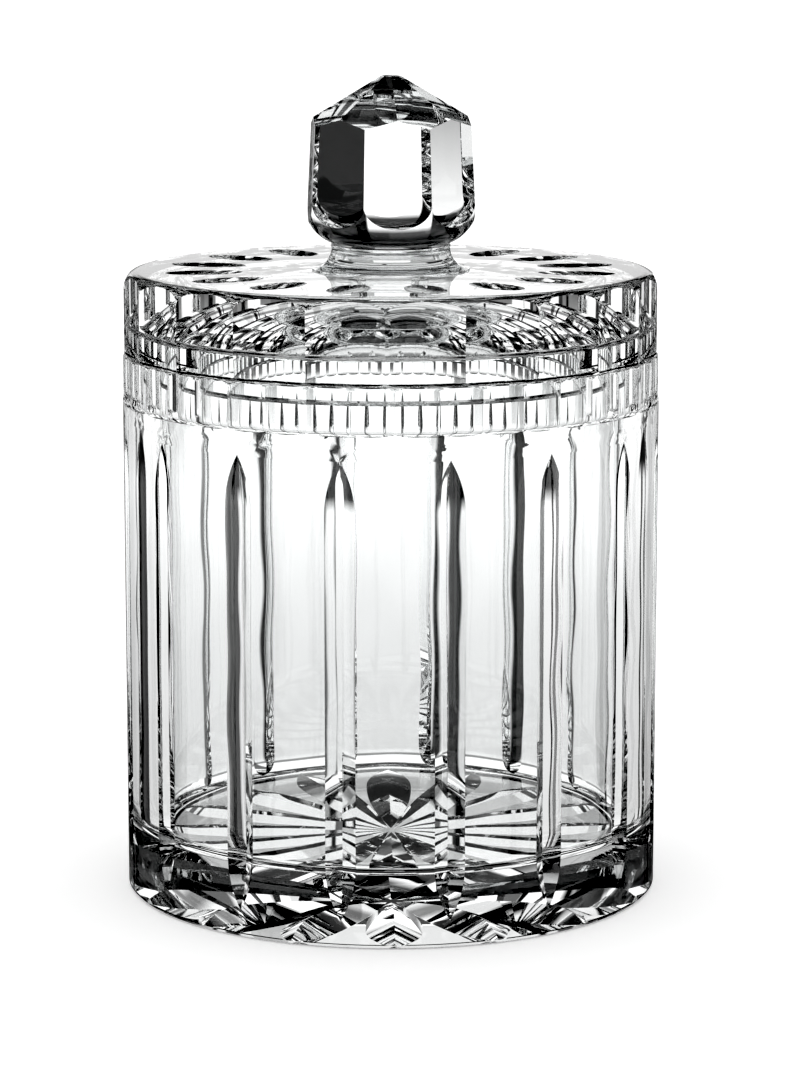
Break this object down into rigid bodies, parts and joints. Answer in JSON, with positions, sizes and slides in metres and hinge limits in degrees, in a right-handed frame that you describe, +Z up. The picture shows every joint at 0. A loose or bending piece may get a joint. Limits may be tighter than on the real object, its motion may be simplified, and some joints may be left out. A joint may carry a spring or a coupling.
{
  "type": "powder jar",
  "caption": "Round cut crystal powder jar with straight sides, upright mitre cuts, a fluted band under the rim and a lift-off lid with a faceted knob.",
  "frame": {"origin": "centre of the jar's flat underside", "axes": "+Z up along the jar's axis, -Y the front, one leaf of the star under the base points along -Y"},
  "size_m": [0.1, 0.1, 0.1523],
  "materials": {
    "jar_glass": "polished cut crystal, clear",
    "lid_glass": "polished cut crystal, clear",
    "knob_glass": "polished faceted crystal, clear"
  },
  "bodies": {
    "jar": {"jar": "jar_glass"},
    "lid": {"lid": "lid_glass", "knob": "knob_glass"}
  },
  "joints": [
    {"name": "lid_lift", "type": "slide", "parent": "jar", "child": "lid", "axis": [0, 0, 1], "range_m": [0, 0.06]}
  ]
}
